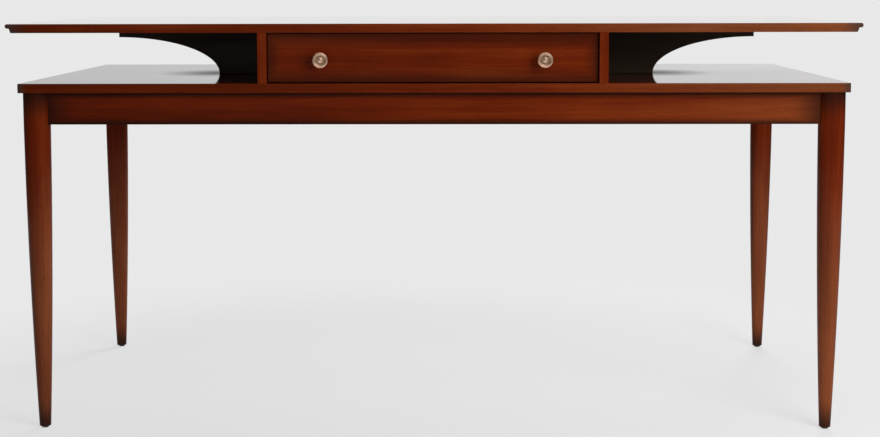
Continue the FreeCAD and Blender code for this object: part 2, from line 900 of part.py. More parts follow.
def make_knobs():
    """Turned knobs: a foot, a waisted neck and a dished head with a raised rim and a boss in the middle."""
    bore_radius = "knob_screw_diameter / 2 + joint_clearance"
    head_radius = "knob_diameter / 2"
    rim_radius = "knob_diameter / 2 - knob_rim_width / 2"
    dish_radius = "knob_diameter / 2 - knob_rim_width"
    dish_floor = "knob_projection - knob_dish_depth"
    neck_top = "knob_base_thickness + knob_neck_length"
    rim_foot = "knob_projection - knob_rim_height"
    corners = [
        (bore_radius, "0"),
        ("knob_base_diameter / 2", "0"),
        ("knob_base_diameter / 2", "knob_base_thickness"),
        ("knob_neck_diameter / 2", "knob_base_thickness"),
        ("knob_neck_diameter / 2", neck_top),
        (head_radius, rim_foot),
        (head_radius, "knob_projection - knob_rim_width / 2"),
        (rim_radius, "knob_projection"),
        (dish_radius, dish_floor),
        ("knob_boss_diameter / 2", dish_floor),
        ("0", f"{dish_floor} + knob_boss_height"),
        ("0", "knob_bore_depth"),
        (bore_radius, "knob_bore_depth"),
    ]
    boss = "knob_boss_diameter / 2"
    boss_radius = f"pow({boss}; 2) / (2 * knob_boss_height) + knob_boss_height / 2"
    radii = {4: f"-({head_radius})", 6: "knob_rim_width / 2", 9: boss_radius}
    for hand, x in HANDS.items():
        base = (f"{x} * knob_spacing / 2", "drawer_face", "knob_height")
        node(turned(f"{hand}_knob", corners, radii, base, "-Y"))


def make_frame_screws():
    """Screws that hold the corner blocks to the aprons and to the lower top."""
    block_screws = []
    top_screws = []
    for end, y in ENDS.items():
        for hand, x in HANDS.items():
            block = f"{end}_{hand}_corner_block"
            height = "lower_top_underside - corner_block_height / 2"
            length = "block_screw_seat + block_screw_bite"
            depth = "corner_block_reach"
            x_axis = "+X" if x > 0 else "-X"
            y_axis = "+Y" if y > 0 else "-Y"
            into_long = (
                f"{x} * (frame_inner_x - block_screw_place)",
                f"{y} * (frame_inner_y - block_screw_seat)",
                height,
            )
            into_short = (
                f"{x} * (frame_inner_x - block_screw_seat)",
                f"{y} * (frame_inner_y - block_screw_place)",
                height,
            )
            for seat, axis, apron in (
                (into_long, y_axis, f"{end}_apron"),
                (into_short, x_axis, f"{hand}_apron"),
            ):
                name = f"{apron}_{block}_screw"
                block_screws.append(screw(name, "wood", seat, axis, length, [block, apron]))
                countersunk_seat(f"{name}_seat", "wood", seat, axis, block, depth)
            inset = "(block_nose + corner_block_reach) / 4"
            under = (
                f"{x} * (frame_inner_x - {inset})",
                f"{y} * (frame_inner_y - {inset})",
                "block_underside",
            )
            top_length = "corner_block_height + top_screw_bite"
            name = f"{block}_top_screw"
            top_screws.append(screw(name, "wood", under, "+Z", top_length, [block, "lower_top"]))
    node(bundle("corner_block_screws", block_screws))
    node(bundle("lower_top_screws", top_screws))


def make_case_screws():
    """Screws up through the cross rails and the lower top into the sides of the case."""
    screws = []
    for hand, x in HANDS.items():
        rail = f"{hand}_cross_rail"
        for index, share in enumerate(CASE_SCREW_SHARES):
            seat = (
                f"{x} * case_side_middle",
                f"{share} * case_depth",
                "lower_top_underside - case_screw_seat",
            )
            name = f"{rail}_screw_{index}"
            length = "case_screw_seat + lower_top_thickness + case_screw_bite"
            pieces = [rail, "lower_top", f"case_{hand}_side"]
            screws.append(screw(name, "wood", seat, "+Z", length, pieces))
            countersunk_seat(f"{name}_seat", "wood", seat, "+Z", rail, "cross_rail_height")
    node(bundle("case_screws", screws))


def make_cleat_screws():
    """Screws from each cleat into the case side and up into the upper top."""
    screws = []
    for hand, x in HANDS.items():
        cleat = f"{hand}_cleat"
        middle = "upper_top_underside - cleat_size / 2"
        length = "cleat_size + cleat_screw_bite"
        for index, share in enumerate(CLEAT_WALL_SHARES):
            seat = (f"{x} * (case_inner - cleat_size)", f"{share} * case_depth", middle)
            pieces = [cleat, f"case_{hand}_side"]
            axis = "+X" if x > 0 else "-X"
            screws.append(screw(f"{cleat}_wall_screw_{index}", "wood", seat, axis, length, pieces))
        for index, share in enumerate(CLEAT_TOP_SHARES):
            across = f"{x} * (case_inner - cleat_size / 2)"
            seat = (across, f"{share} * case_depth", "upper_top_underside - cleat_size")
            pieces = [cleat, "upper_top"]
            screws.append(screw(f"{cleat}_top_screw_{index}", "wood", seat, "+Z", length, pieces))
    node(bundle("cleat_screws", screws))


def make_runner_screws():
    """Screws let into the runners."""
    screws = []
    for hand, x in HANDS.items():
        runner = f"{hand}_runner"
        axis = "+X" if x > 0 else "-X"
        sunk = "runner_thickness - small_screw_head_height"
        for index, share in enumerate(RUNNER_SCREW_SHARES):
            along = f"runner_front + {share} * runner_length"
            seat = (f"{x} * (case_inner - ({sunk}))", along, "runner_middle")
            name = f"{runner}_screw_{index}"
            length = f"{sunk} + runner_screw_bite"
            screws.append(screw(name, "small", seat, axis, length, [runner, f"case_{hand}_side"]))
            countersunk_seat(f"{name}_seat", "small", seat, axis, runner, "runner_thickness")
    node(bundle("runner_screws", screws))


def make_drawer_screws():
    """A screw from inside the front into each knob, and a row under the bottom into the back."""
    knob_screws = []
    for hand, x in HANDS.items():
        seat = (f"{x} * knob_spacing / 2", "drawer_shoulder", "knob_height")
        length = "drawer_front_thickness + knob_bore_depth - knob_screw_diameter"
        knob_screws.append(screw(f"{hand}_knob_screw", "knob", seat, "-Y", length, ["drawer_front"]))
    node(bundle("knob_screws", knob_screws))
    bottom_screws = []
    for index, share in enumerate(BOTTOM_SCREW_SHARES):
        seat = (
            f"{share} * 2 * drawer_inner",
            "drawer_back_rear - drawer_back_thickness / 2",
            "drawer_bottom_underside",
        )
        length = "drawer_bottom_thickness + bottom_screw_bite"
        pieces = ["drawer_bottom", "drawer_back"]
        bottom_screws.append(screw(f"drawer_bottom_screw_{index}", "small", seat, "+Z", length, pieces))
    node(bundle("drawer_bottom_screws", bottom_screws))


def make_dowels():
    """Dowels from the case into the upper top, and from each bracket into all that it meets."""
    case_dowels = []
    bracket_dowels = []
    for hand, x in HANDS.items():
        side = f"case_{hand}_side"
        bracket = f"{hand}_bracket"
        for index, share in enumerate(DOWEL_ROW_SHARES):
            middle = (f"{x} * case_side_middle", f"{share} * case_depth", "upper_top_underside")
            case_dowels.append(dowel(f"{side}_dowel_{index}", middle, "+Z", [side, "upper_top"]))
        for index, share in enumerate(BRACKET_WALL_SHARES):
            middle = (f"{x} * case_outer", "0", f"lower_top_height + {share} * opening_height")
            bracket_dowels.append(dowel(f"{bracket}_wall_dowel_{index}", middle, "+X", [side, bracket]))
        for index, share in enumerate(BRACKET_TOP_SHARES):
            middle = (f"{x} * (case_outer + {share} * bracket_reach)", "0", "upper_top_underside")
            bracket_dowels.append(dowel(f"{bracket}_top_dowel_{index}", middle, "+Z", [bracket, "upper_top"]))
        for index, share in enumerate(BRACKET_FOOT_SHARES):
            middle = (f"{x} * (case_outer + {share} * bracket_foot)", "0", "lower_top_height")
            pieces = [bracket, "lower_top"]
            bracket_dowels.append(dowel(f"{bracket}_foot_dowel_{index}", middle, "+Z", pieces))
    node(bundle("case_dowels", case_dowels))
    node(bundle("bracket_dowels", bracket_dowels))


def check_document():
    """Stops if any object failed or any piece has no sound shape."""
    doc.recompute()
    for item in doc.Objects:
        if {"Invalid", "Error"} & set(item.State):
            raise RuntimeError(f"{item.Label} failed: {item.State}")
    for piece in nodes:
        if piece.Shape.isNull() or not piece.Shape.isValid() or not piece.Shape.Solids:
            raise RuntimeError(f"{piece.Label} has no sound shape")


def write_pieces():
    os.makedirs("parts", exist_ok=True)
    for piece in nodes:
        piece.Shape.exportStep(f"parts/{piece.Label}.step")
    print(len(nodes), "pieces")


def main():
    fill_sheet()
    make_frame_screws()
    make_case_screws()
    make_cleat_screws()
    make_runner_screws()
    make_drawer_screws()
    make_dowels()
    make_glides()
    make_upper_top()
    make_lower_top()
    make_legs()
    make_long_aprons()
    make_short_aprons()
    make_corner_blocks()
    make_cross_rails()
    make_case()
    make_brackets()
    make_cleats()
    make_runners()
    make_drawer_sides()
    make_drawer_front()
    make_drawer_back_and_bottom()
    make_knobs()
    check_document()
    write_pieces()


main()
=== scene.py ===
import json
import math

import bpy
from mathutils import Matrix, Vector


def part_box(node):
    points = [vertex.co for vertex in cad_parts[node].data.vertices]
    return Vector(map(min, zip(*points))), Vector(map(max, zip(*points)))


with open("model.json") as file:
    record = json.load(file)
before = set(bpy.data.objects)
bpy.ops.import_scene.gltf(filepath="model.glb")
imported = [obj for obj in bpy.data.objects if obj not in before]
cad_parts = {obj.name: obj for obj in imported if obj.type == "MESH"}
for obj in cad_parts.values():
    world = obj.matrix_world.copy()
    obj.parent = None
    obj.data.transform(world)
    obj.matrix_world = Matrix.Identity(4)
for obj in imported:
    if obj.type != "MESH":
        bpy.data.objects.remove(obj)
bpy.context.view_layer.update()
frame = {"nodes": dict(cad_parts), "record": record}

# A writing desk in polished red-brown mahogany with near-black brackets and brass knobs, on a pale floor.
# Lengths are metres, in the frame of the loaded model: X to the right, the drawer opens towards -Y, Z up.
# Spots of noise are given by scale, detail and roughness, then the range of the noise that shows.

NODES = frame["nodes"]
SLOT_OF = {entry["node"]: entry["material_slot"] for entry in frame["record"]["subparts"]}

# Camera, fitted to the photograph's frame
CAMERA_PLACE = (0.0513, -3.3689, 0.8575)
CAMERA_TILT = 0.09923
CAMERA_TURN = 0.01246
CAMERA_ROLL = 0.0019
CAMERA_LENS_MM = 64.44
CAMERA_SENSOR_MM = 36
CAMERA_SHIFT = -0.0841

# Levels of the backdrop and the sky, and the lamps: place, target, size and power
BACKDROP = 0.81
SKY = 0.22
WHITE = (1, 1, 1, 1)
LAMPS = {
    "key": ((1.55, -2.2, 1.35), (0.1, -0.37, 0.5), 1.6, 54),
    "front": ((-0.8, -3.2, 0.85), (-0.1, 0, 0.65), 1.2, 9),
    "fill": ((1.0, 2.7, 2.2), (0, 0.4, 0.6), 1.8, 62),
}

# What polish and metal mirror: a dark room with the lit backdrop, a soft box at the key lamp and a ceiling
ROOM_SHEEN = 0.03
BACKDROP_SHEEN = 0.88
BACKDROP_EDGE = (math.cos(math.radians(28)), math.cos(math.radians(17)))
SOFTBOX_WAY = Vector((0.42, -0.56, 0.71)).normalized()
SOFTBOX_SHEEN = 1.8
SOFTBOX_EDGE = (math.cos(math.radians(32)), math.cos(math.radians(16)))
CEILING_SHEEN = 0.5
CEILING_EDGE = (0.45, 0.85)

# Floor, which fades into the backdrop between two distances from its middle
FLOOR_RADIUS = 3.4
FLOOR_SIDES = 128
FLOOR_FADE = (0.7, 1.5)
FLOOR_COLOUR = (0.80, 0.797, 0.805)
FLOOR_SPECK_COLOUR = (0.70, 0.70, 0.71)
FLOOR_SPECKS = (60.0, 4.0, 0.6, 0.3, 0.7)
FLOOR_SPECK_SHARE = 0.04
FLOOR_GLOW = 0.89
FLOOR_GLOW_SHARE = 0.65

# Wood tones, darkest to lightest, and the dark colours of the toners, one of which also paints shade
MAHOGANY = ((0.040, 0.0042, 0.0005), (0.106, 0.0108, 0.0010), (0.180, 0.0290, 0.0035))
MAHOGANY_TOP = ((0.040, 0.0056, 0.0014), (0.104, 0.0140, 0.0032), (0.176, 0.0330, 0.0080))
# Lighter tones of painted light, for the right of the tops and the front apron
MAHOGANY_PAINTED_LIT = ((0.044, 0.0095, 0.0028), (0.110, 0.0270, 0.0085), (0.178, 0.0520, 0.0180))
# Lighter, browner tones towards the feet of the legs
LEG_LOWER_TONES = ((0.070, 0.0152, 0.0045), (0.176, 0.0432, 0.0136), (0.285, 0.0832, 0.0288))
# Near-black tones of the brackets
NEAR_BLACK_TONES = ((0.018, 0.0120, 0.0074), (0.036, 0.0240, 0.0155), (0.056, 0.0385, 0.0260))
SECONDARY = ((0.240, 0.124, 0.050), (0.390, 0.222, 0.100), (0.520, 0.328, 0.168))
PANEL = ((0.260, 0.122, 0.046), (0.400, 0.215, 0.092), (0.500, 0.300, 0.144))
# A dark colour sprayed on as toner and painted as shade in the drawer's recess, beside the legs and under the
# tops
TONER_AND_SHADE_COLOUR = (0.012, 0.0042, 0.0022)
END_TONER = (0.042, 0.027, 0.020)
TONER_AND_SHADE_SHARE = 0.88
END_FACE_SHARE = 0.45
DRAWER_TONER_AND_SHADE_SHARE = 0.6

# Kinds of wood: tones, roughness of bright and dull places, clear coat, specular level, pores and edge wear
WOODS = {
    "mahogany": {
        "tones": MAHOGANY, "roughness": (0.34, 0.48),
        "coat": 0.06, "specular": 0.06, "pores": 0.5, "wear": 0.2,
    },
    "mahogany_top": {
        "tones": MAHOGANY_TOP, "roughness": (0.24, 0.36),
        "coat": 0.06, "specular": 0.0, "pores": 0.5, "wear": 0.2,
    },
    "ebonised_wood": {
        "tones": NEAR_BLACK_TONES, "roughness": (0.42, 0.56),
        "coat": 0.0, "specular": 0.5, "pores": 0.35, "wear": 0.25,
    },
    "secondary_wood": {
        "tones": SECONDARY, "roughness": (0.50, 0.68),
        "coat": 0.0, "specular": 0.3, "pores": 0.5, "wear": 0.2,
    },
    "panel_wood": {
        "tones": PANEL, "roughness": (0.48, 0.64),
        "coat": 0.0, "specular": 0.3, "pores": 0.6, "wear": 0.1,
    },
}
TOPS = ("upper_top", "lower_top")
SPECIAL_KINDS = {**dict.fromkeys(TOPS, "mahogany_top"), "case_back": "mahogany"}
LEGS = ("front_left_leg", "front_right_leg", "rear_left_leg", "rear_right_leg")

# Which way the grain of each board runs
GRAIN_ALONG = {
    "X": (
        "upper_top lower_top front_apron rear_apron drawer_front case_back drawer_back drawer_bottom "
        "left_bracket right_bracket front_left_corner_block front_right_corner_block "
        "rear_left_corner_block rear_right_corner_block"
    ).split(),
    "Y": (
        "left_apron right_apron drawer_left_side drawer_right_side left_runner right_runner "
        "left_cleat right_cleat left_cross_rail right_cross_rail"
    ).split(),
    "Z": [*LEGS, "case_left_side", "case_right_side", "case_dowels", "bracket_dowels"],
}
GRAIN_ORDER = {"X": (0, 1, 2), "Y": (1, 2, 0), "Z": (2, 0, 1)}

# How far apart the boards lie in the log, along the grain and across it
LOG_STEP = (0.37, 0.173, 0.291)

# Figure of the wood: cycles per metre along and across the grain, detail and roughness of the noise, then the
# range of it that shows
RIBBON = (0.9, 27.0, 3.0, 0.5, 0.34, 0.66)
STREAK = (5.0, 190.0, 4.0, 0.6, 0.28, 0.72)
CLOUD = (3.5, 12.0, 4.0, 0.6, 0.30, 0.70)
PORE = (48.0, 1500.0, 2.0, 0.5, 0.60, 0.72)
SMEAR = (7.0, 11.0, 5.0, 0.65, 0.3, 0.7)
RIBBON_SHARE = 0.44
STREAK_SHARE = 0.30
CLOUD_SHARE = 0.26

# Sway of the grain: cycles per metre along and across it, detail of the noise and its middle, and the reach
SWAY = (1.6, 5.0)
SWAY_DETAIL = 2.0
NOISE_MIDDLE = (0.5, 0.5, 0.5)
SWAY_REACH = 0.02

# Relief and dullness that pores and streaks give the surface
PORE_DULLNESS = 0.12
PORE_DEPTH = -0.7
STREAK_HEIGHT = 0.3
WOOD_BUMP = {"Strength": 0.16, "Distance": 0.0004}

# Eased arrises, and the worn patches along them
ARRIS = 0.0009
WEAR_REACH = 0.0035
WEAR_PATCHES = (34.0, 5.0, 0.7, 0.42, 0.68)

# Toner and painted shade that darken a board towards its ends and edges: reach along X, Y and Z, zero for
# none
# On the drawer front, aprons and legs this also paints shade: in the drawer's recess, beside the legs, under
# the tops
TONER_AND_SHADE_REACH = {
    "upper_top": (0.050, 0, 0),
    "lower_top": (0.022, 0, 0),
    "drawer_front": (0.032, 0, 0.034),
    "front_apron": (0.085, 0, 0.015),
    "rear_apron": (0.085, 0, 0.015),
    "left_apron": (0, 0.085, 0.015),
    "right_apron": (0, 0.085, 0.015),
    **{name: (0, 0, 0.058) for name in LEGS},
}

# Lighter tones down the legs, and painted light towards the right on the tops and the front apron: the axis,
# where it begins and where it is full
LIGHTER_TOWARDS = {
    "upper_top": (0, 0.10, 0.55),
    "lower_top": (0, 0.20, 0.75),
    "front_apron": (0, 0.10, 1.60),
    **{name: (2, 0.56, 0.20) for name in LEGS},
}

# Boards cut from darker or lighter parts of the log: change of tone; and its rise per metre along X, painted
# light that grows towards the lamp at the right
BOARD_TONE_AND_LIGHT = {
    "front_apron": (-0.05, 0.42),
    "upper_top": (0.03, 0.42),
    "lower_top": (-0.02, 0.16),
    "drawer_front": (-0.06, 0.06),
    "case_left_side": (-0.08, 0.0),
    "case_right_side": (-0.08, 0.0),
    "front_left_leg": (-0.03, 0.0),
    "rear_left_leg": (0.02, 0.0),
    "front_right_leg": (0.03, 0.0),
    "rear_right_leg": (-0.04, 0.0),
}

# Clear coat, and how much a face has to turn upwards or sideways to count as the top or the end of a board
COAT_ROUGHNESS = 0.05
COAT_IOR = 1.5
TOP_FACE_TURN = (0.6, 0.95)
END_FACE_TURN = (0.3, 0.8)

# Polish of the lower top: the share of its coat left in dull places, at its left and right ends, where a
# lower share at the left paints shade in its reflection, and around the feet of the brackets, where it paints
# their shade and reaches this far along X and Y
POLISH = (1.0, 3.2, 2.0, 0.5, 0.3, 0.7)
POLISH_LEFT = 0.92
REFLECTION_SHADE_ENDS = (0.84, 1.0)
FOOT_SHADE_LEFT = 0.30
FOOT_SHADE_REACH = (0.15, 0.17)
BRACKET_FOOT_SHARE = 0.376

# Kinds of metal: bright and tarnished colour, roughness of bright and dull places, tarnish, noise scale
METALS = {
    "brass": {
        "bright": (1.0, 0.70, 0.50), "dull": (0.40, 0.23, 0.13),
        "roughness": (0.42, 0.56), "tarnish": 0.3, "scale": 160.0,
    },
    "screw_steel": {
        "bright": (0.56, 0.55, 0.53), "dull": (0.16, 0.15, 0.14),
        "roughness": (0.26, 0.46), "tarnish": 0.5, "scale": 200.0,
    },
}

# Tarnish in patches and finer specks, and finer scratches still: detail and roughness of the noise, then the
# range of it that shows
TARNISH_PATCHES = (5.0, 0.65, 0.35, 0.7)
PATCH_SHARE = 0.65
TARNISH_SPECKS = (3.0, 0.6, 0.55, 0.75)
SPECK_FINENESS = 9
SPECK_SHARE = 0.35
SCRATCHES = (4.0, 0.7)
SCRATCH_FINENESS = 14
METAL_BUMP = {"Strength": 0.12, "Distance": 0.0002}

# Tarnished dish of a knob: where it begins and ends, in shares of the knob's radius, and how dull it is
DISH_INNER = (0.30, 0.42)
DISH_OUTER = (0.72, 0.60)
DISH_TARNISH = 0.55

# Glides under the feet, scuffed up to a small height
GLIDE_COLOUR = (0.012, 0.010, 0.009)
GLIDE_SCUFF_COLOUR = (0.09, 0.085, 0.08)
GLIDE_SCUFFS = (420.0, 4.0, 0.7, 0.5, 0.72)
GLIDE_SCUFF_HEIGHT = 0.003
GLIDE_ROUGHNESS = (0.42, 0.7)
GLIDE_BUMP = {"Strength": 0.1, "Distance": 0.0002}


class Shader:
    """A node tree with short calls to add nodes and to link them."""

    def __init__(self, owner):
        owner.use_nodes = True
        self.tree = owner.node_tree
        self.tree.nodes.clear()

    def add(self, kind, inputs=None, **settings):
        """Adds a node. An input that is a socket is linked, and any other is set."""
        node = self.tree.nodes.new(f"ShaderNode{kind}")
        for name, value in settings.items():
            setattr(node, name, value)
        for key, value in (inputs or {}).items():
            if isinstance(value, bpy.types.NodeSocket):
                self.tree.links.new(value, node.inputs[key])
            else:
                node.inputs[key].default_value = value
        return node

    def place(self):
        """The point on the surface, in the frame of the model."""
        return self.add("TexCoord").outputs["Object"]

    def facing(self):
        """The three parts of the way that the surface faces."""
        return self.split(self.add("NewGeometry").outputs["Normal"])

    def math(self, operation, *values):
        return self.add("Math", dict(enumerate(values)), operation=operation).outputs[0]

    def vector(self, operation, *values, result="Vector"):
        return self.add("VectorMath", dict(enumerate(values)), operation=operation).outputs[result]

    def split(self, vector):
        return self.add("SeparateXYZ", {0: vector}).outputs

    def between(self, value, low, high, new_low=0.0, new_high=1.0, smooth=False):
        """Carries a value from one range to another, held at both ends."""
        inputs = {"Value": value, 1: low, 2: high, 3: new_low, 4: new_high}
        kind = "SMOOTHSTEP" if smooth else "LINEAR"
        return self.add("MapRange", inputs, interpolation_type=kind, clamp=True).outputs[0]

    def noise(self, vector, scale, detail, roughness):
        inputs = {"Vector": vector, "Scale": scale, "Detail": detail, "Roughness": roughness}
        return self.add("TexNoise", inputs).outputs["Fac"]

    def spots(self, vector, scale, detail, roughness, low, high):
        """Soft spots of noise: the range of it that shows, carried to 0 to 1."""
        return self.between(self.noise(vector, scale, detail, roughness), low, high)

    def ramp(self, value, colours):
        """Colours spread evenly over a value from 0 to 1."""
        node = self.add("ValToRGB", {"Fac": value})
        elements = node.color_ramp.elements
        while len(elements) < len(colours):
            elements.new(0.5)
        for index, colour in enumerate(colours):
            elements[index].position = index / (len(colours) - 1)
            elements[index].color = (*colour, 1)
        return node.outputs["Color"]

    def blend(self, share, first, second):
        """Mixes two colours."""
        node = self.add("Mix", {"Factor": share}, data_type="RGBA")
        sockets = [socket for socket in node.inputs if socket.type == "RGBA"]
        for socket, colour in zip(sockets, (first, second)):
            if isinstance(colour, bpy.types.NodeSocket):
                self.tree.links.new(colour, socket)
            else:
                socket.default_value = (*colour, 1)
        return next(socket for socket in node.outputs if socket.type == "RGBA")

    def either(self, *values):
        """The largest of the values."""
        total = values[0]
        for value in values[1:]:
            total = self.math("MAXIMUM", total, value)
        return total

    def finish(self, shader, kind="Material"):
        self.add(f"Output{kind}", {"Surface": shader.outputs[0]})


def stretched(shader, point, along, across):
    return shader.vector("MULTIPLY", point, (along, across, across))


def grain_place(shader, axis, index):
    """The point on the surface, its first coordinate along the grain, at a place of its own in the log."""
    parts = shader.split(shader.place())
    along, across, deep = (parts[order] for order in GRAIN_ORDER[axis])
    point = shader.add("CombineXYZ", {0: along, 1: across, 2: deep}).outputs[0]
    point = shader.vector("ADD", point, tuple(step * index for step in LOG_STEP))
    inputs = {"Vector": stretched(shader, point, *SWAY), "Scale": 1.0, "Detail": SWAY_DETAIL}
    wander = shader.add("TexNoise", inputs).outputs["Color"]
    sway = shader.vector("SUBTRACT", wander, NOISE_MIDDLE)
    drift = shader.vector("MULTIPLY", sway, (0, SWAY_REACH, SWAY_REACH))
    return shader.vector("ADD", point, drift)


def figure(shader, point, form):
    """One form of figure in the wood, from 0 to 1."""
    along, across, *spots = form
    return shader.spots(stretched(shader, point, along, across), 1.0, *spots)


def inset(shader, node_name):
    """How far the point lies inside the box of its node, along each axis."""
    low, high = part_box(node_name)
    offset = shader.vector("ABSOLUTE", shader.vector("SUBTRACT", shader.place(), tuple((low + high) / 2)))
    return shader.split(shader.vector("SUBTRACT", tuple((high - low) / 2), offset))


def edge_wear(shader, node_name):
    """Rises from 0 to 1 towards the arrises of a board, broken up where hands and cloths missed it."""
    parts = inset(shader, node_name)
    total = shader.math("ADD", shader.math("ADD", parts[0], parts[1]), parts[2])
    to_arris = shader.math("SUBTRACT", total, shader.either(*parts))
    near = shader.between(to_arris, WEAR_REACH, 0.0, smooth=True)
    return shader.math("MULTIPLY", near, shader.spots(shader.place(), *WEAR_PATCHES))


def toned_and_shaded(shader, node_name, colour):
    """Darkening along the ends and edges of a board, fading inwards: toner at the ends of the tops, and on
    other boards toner with painted shade.
    """
    reaches = TONER_AND_SHADE_REACH.get(node_name)
    if not reaches:
        return colour
    parts = inset(shader, node_name)
    near = [shader.between(part, reach, 0.0, smooth=True) for part, reach in zip(parts, reaches) if reach]
    depth = DRAWER_TONER_AND_SHADE_SHARE if node_name == "drawer_front" else TONER_AND_SHADE_SHARE
    share = shader.math("MULTIPLY", shader.either(*near), depth)
    # Off the tops, this darkening is painted shade as well as toner
    if node_name not in TOPS:
        return shader.blend(share, colour, TONER_AND_SHADE_COLOUR)
    sideways = shader.math("ABSOLUTE", shader.facing()[0])
    ends = shader.between(sideways, *END_FACE_TURN, 1.0, END_FACE_SHARE)
    return shader.blend(shader.math("MULTIPLY", share, ends), colour, END_TONER)


def foot_shade(shader):
    """The share of the lower top's coat left near the brackets' feet, lowered there to paint their shade in
    its polish.
    """
    low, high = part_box("right_bracket")
    foot = low.x + BRACKET_FOOT_SHARE * (high.x - low.x)
    place = shader.split(shader.place())
    along = shader.math("SUBTRACT", shader.math("ABSOLUTE", place[0]), foot)
    along = shader.math("DIVIDE", along, FOOT_SHADE_REACH[0])
    across = shader.math("DIVIDE", place[1], FOOT_SHADE_REACH[1])
    squares = shader.math("MULTIPLY_ADD", along, along, shader.math("MULTIPLY", across, across))
    return shader.between(shader.math("SQRT", squares), 0.0, 1.0, FOOT_SHADE_LEFT, 1.0, smooth=True)


def coat_weight(shader, node_name, point, look):
    """The clear coat: a high polish on top of both tops, duller in places, with painted shade in the lower
    top's reflection towards its left and around the brackets' feet, and a thin even film elsewhere.
    """
    if node_name not in TOPS:
        return look["coat"]
    full = shader.between(shader.facing()[2], *TOP_FACE_TURN, look["coat"], 1.0)
    if node_name == "upper_top":
        return full
    left = shader.between(figure(shader, point, POLISH), 0.0, 1.0, POLISH_LEFT, 1.0)
    low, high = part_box(node_name)
    along = shader.split(shader.place())[0]
    # A lower share of coat towards the left end paints shade in the reflection
    left = shader.math("MULTIPLY", left, shader.between(along, low.x, high.x, *REFLECTION_SHADE_ENDS))
    # A lower share of coat around the brackets' feet paints their shade
    left = shader.math("MULTIPLY", left, foot_shade(shader))
    return shader.math("MULTIPLY", full, left)


def board_tone_and_light(shader, node_name, ribbon, streak, cloud):
    """How light the wood is, from its figure, from the part of the log that the board comes from, and from
    painted light that rises towards the right.
    """
    tone = shader.math("MULTIPLY", ribbon, RIBBON_SHARE)
    tone = shader.math("MULTIPLY_ADD", streak, STREAK_SHARE, tone)
    tone = shader.math("MULTIPLY_ADD", cloud, CLOUD_SHARE, tone)
    if node_name not in BOARD_TONE_AND_LIGHT:
        return tone
    change, light_rise = BOARD_TONE_AND_LIGHT[node_name]
    along = shader.split(shader.place())[0]
    # The rise along X is painted light, lighter towards the lamp at the right
    return shader.math("ADD", tone, shader.math("MULTIPLY_ADD", along, light_rise, change))


def wood_colour(shader, node_name, look, tone, pore):
    """The wood's tone, lighter along some boards as painted light and down the legs, with dark pores, worn
    arrises, toner and painted shade.
    """
    colour = shader.ramp(tone, look["tones"])
    # Along X on the tops and the front apron this is painted light; down the legs, lighter and browner tones
    if node_name in LIGHTER_TOWARDS:
        axis, start, full = LIGHTER_TOWARDS[node_name]
        lighter_share = shader.between(shader.split(shader.place())[axis], start, full, smooth=True)
        lighter_tones = LEG_LOWER_TONES if node_name in LEGS else MAHOGANY_PAINTED_LIT
        colour = shader.blend(lighter_share, colour, shader.ramp(tone, lighter_tones))
    darkest, _, lightest = look["tones"]
    colour = shader.blend(shader.math("MULTIPLY", pore, look["pores"]), colour, darkest)
    worn = shader.math("MULTIPLY", edge_wear(shader, node_name), look["wear"])
    colour = shader.blend(worn, colour, lightest)
    return toned_and_shaded(shader, node_name, colour)


def wood(node_name, axis, kind, index):
    """Straight-grained wood: broad ribbons, streaks and fine pores along the grain, under a worn polish."""
    look = WOODS[kind]
    material = bpy.data.materials.new(f"{kind}_{node_name}")
    shader = Shader(material)
    point = grain_place(shader, axis, index)
    forms = (RIBBON, STREAK, CLOUD, PORE, SMEAR)
    ribbon, streak, cloud, pore, smear = (figure(shader, point, form) for form in forms)
    tone = board_tone_and_light(shader, node_name, ribbon, streak, cloud)
    gloss = shader.between(smear, 0.0, 1.0, *look["roughness"])
    gloss = shader.math("MULTIPLY_ADD", pore, PORE_DULLNESS, gloss)
    relief = shader.math("MULTIPLY_ADD", pore, PORE_DEPTH, shader.math("MULTIPLY", streak, STREAK_HEIGHT))
    eased = shader.add("Bevel", {"Radius": ARRIS}).outputs[0]
    bump = shader.add("Bump", {**WOOD_BUMP, "Height": relief, "Normal": eased})
    surface = shader.add(
        "BsdfPrincipled",
        {
            "Base Color": wood_colour(shader, node_name, look, tone, pore),
            "Roughness": gloss,
            "Normal": bump.outputs[0],
            "Specular IOR Level": look["specular"],
            "Coat Weight": coat_weight(shader, node_name, point, look),
            "Coat Roughness": COAT_ROUGHNESS,
            "Coat IOR": COAT_IOR,
            "Coat Normal": eased,
        },
    )
    shader.finish(surface)
    return material


def metal(name, look, dish=None):
    """Bare metal: soft tarnish in patches and in a dish, fine scratches and an uneven shine."""
    material = bpy.data.materials.new(name)
    shader = Shader(material)
    point = shader.place()
    scale = look["scale"]
    patches = shader.spots(point, scale, *TARNISH_PATCHES)
    specks = shader.spots(point, scale * SPECK_FINENESS, *TARNISH_SPECKS)
    stain = shader.math("MULTIPLY_ADD", specks, SPECK_SHARE, shader.math("MULTIPLY", patches, PATCH_SHARE))
    stain = shader.math("MULTIPLY", stain, look["tarnish"])
    if dish:
        stain = shader.either(stain, dish(shader, point))
    scratches = shader.noise(point, scale * SCRATCH_FINENESS, *SCRATCHES)
    bump = shader.add("Bump", {**METAL_BUMP, "Height": scratches})
    surface = shader.add(
        "BsdfPrincipled",
        {
            "Base Color": shader.blend(stain, look["bright"], look["dull"]),
            "Metallic": 1.0,
            "Roughness": shader.between(patches, 0.0, 1.0, *look["roughness"]),
            "Normal": bump.outputs[0],
        },
    )
    shader.finish(surface)
    return material


